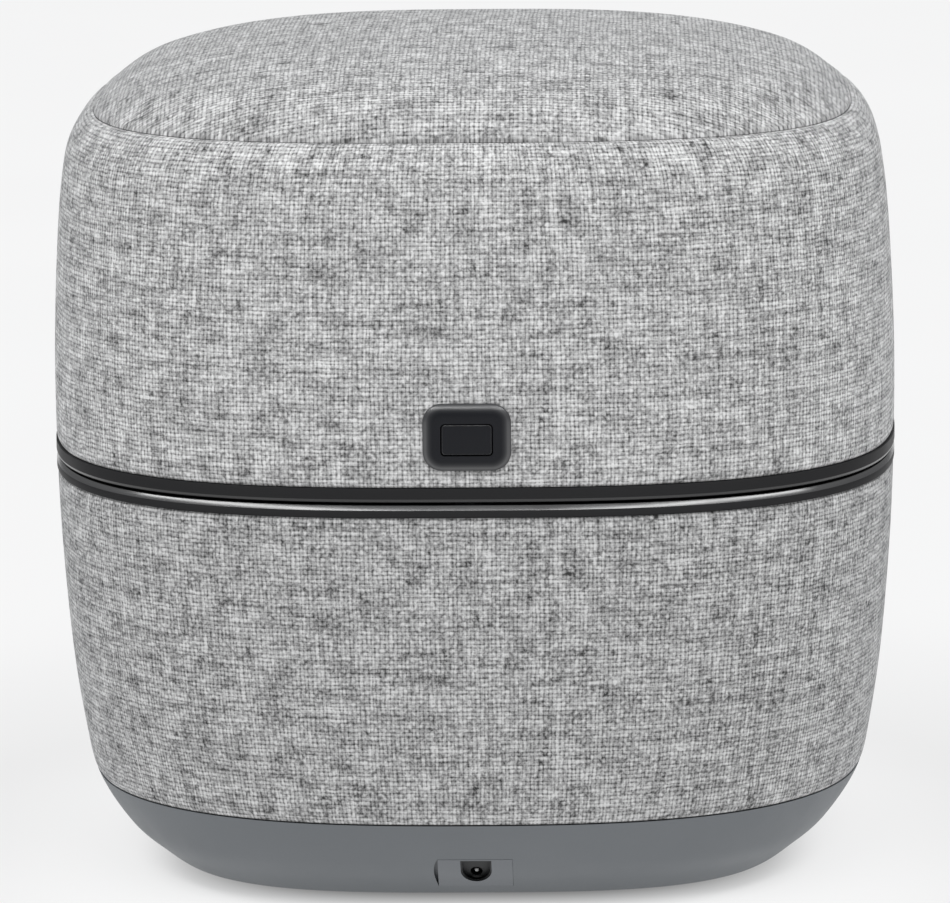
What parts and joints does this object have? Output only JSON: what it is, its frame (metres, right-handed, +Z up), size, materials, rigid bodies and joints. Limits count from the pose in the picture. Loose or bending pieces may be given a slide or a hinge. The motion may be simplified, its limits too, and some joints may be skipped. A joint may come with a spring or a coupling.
{
  "type": "smart speaker",
  "caption": "Cube-like fabric-covered table speaker with rounded corners, a grey base, dark split rims, a rear-hinged lid and a push latch.",
  "frame": {"origin": "under the middle of the object, on the surface its feet stand on", "axes": "+Z up; the latch button and the power inlet face -Y; the lid's hinge runs along X at +Y"},
  "size_m": [0.2624, 0.2668, 0.2603],
  "materials": {
    "heather_fabric": "heathered grey plain weave",
    "base_plastic": "matte grey moulded plastic",
    "dark_trim": "near-black, polished chamfer",
    "dark_satin": "near-black satin plastic",
    "inner_plastic": "dark grey matte",
    "rubber": "matte black",
    "mat_fabric": "dark felt",
    "circuit_board": "green solder mask",
    "aluminium": "plain",
    "steel": "zinc plated",
    "cone_paper": "pressed paper, black"
  },
  "bodies": {
    "base": {"base_pan": "base_plastic", "base_screw_front_left": "steel", "base_screw_front_right": "steel", "base_screw_rear_left": "steel", "base_screw_rear_right": "steel", "dc_jack": "dark_satin", "dc_jack_pin": "steel", "driver_basket_left": "inner_plastic", "driver_basket_right": "inner_plastic", "driver_magnet_left": "steel", "driver_magnet_right": "steel", "driver_surround_left": "rubber", "driver_surround_right": "rubber", "foot_front_left": "rubber", "foot_front_right": "rubber", "foot_rear_left": "rubber", "foot_rear_right": "rubber", "heat_sink": "aluminium", "hinge_base_leaf": "steel", "hinge_pin": "steel", "inner_tray": "inner_plastic", "jack_plate": "base_plastic", "latch_striker": "steel", "lower_fabric": "heather_fabric", "lower_shell": "inner_plastic", "lower_trim": "dark_trim", "main_board": "circuit_board", "passive_frame_front": "inner_plastic", "passive_frame_rear": "inner_plastic", "passive_surround_front": "rubber", "passive_surround_rear": "rubber", "power_board": "circuit_board", "rim_plate_left": "inner_plastic", "rim_plate_right": "inner_plastic", "standoff_front_left": "aluminium", "standoff_front_right": "aluminium", "standoff_rear_left": "aluminium", "standoff_rear_right": "aluminium", "well_mat": "mat_fabric"},
    "lid": {"lid_shell": "inner_plastic", "lid_side_fabric": "heather_fabric", "lid_top_fabric": "heather_fabric", "upper_trim": "dark_trim", "lid_liner": "inner_plastic", "lid_gasket": "rubber", "mic_board": "circuit_board", "latch_bezel": "dark_satin", "latch_housing": "inner_plastic", "hook_pin": "steel", "hinge_lid_leaf": "steel", "button_spring": "steel"},
    "button": {"latch_button": "dark_satin"},
    "hook": {"latch_hook": "steel"},
    "cone_left": {"driver_cone_left": "cone_paper"},
    "cone_right": {"driver_cone_right": "cone_paper"},
    "cone_front": {"passive_cone_front": "cone_paper"},
    "cone_rear": {"passive_cone_rear": "cone_paper"}
  },
  "joints": [
    {"name": "lid_hinge", "type": "hinge", "parent": "base", "child": "lid", "pos_m": [0, 0.1309, 0.1303], "axis": [-1, 0, 0], "range_deg": [0, 95]},
    {"name": "button_press", "type": "slide", "parent": "lid", "child": "button", "axis": [0, 1, 0], "range_m": [0, 0.0018], "stiffness_N_per_m": 300, "springref_m": -0.001, "deforming": ["button_spring"]},
    {"name": "hook_pivot", "type": "hinge", "parent": "lid", "child": "hook", "pos_m": [0, -0.1212, 0.1365], "axis": [-1, 0, 0], "range_deg": [0, 7.75]},
    {"name": "driver_travel_left", "type": "slide", "parent": "base", "child": "cone_left", "axis": [-1, 0, 0], "range_m": [-0.002, 0.002], "stiffness_N_per_m": 200},
    {"name": "driver_travel_right", "type": "slide", "parent": "base", "child": "cone_right", "axis": [1, 0, 0], "range_m": [-0.002, 0.002], "stiffness_N_per_m": 200},
    {"name": "passive_travel_front", "type": "slide", "parent": "base", "child": "cone_front", "axis": [0, -1, 0], "range_m": [-0.002, 0.002], "stiffness_N_per_m": 200},
    {"name": "passive_travel_rear", "type": "slide", "parent": "base", "child": "cone_rear", "axis": [0, 1, 0], "range_m": [-0.002, 0.002], "stiffness_N_per_m": 200}
  ],
  "couplings": [
    {"joint": "hook_pivot", "follows": "button_press", "rad_per_m": 74.07}
  ]
}
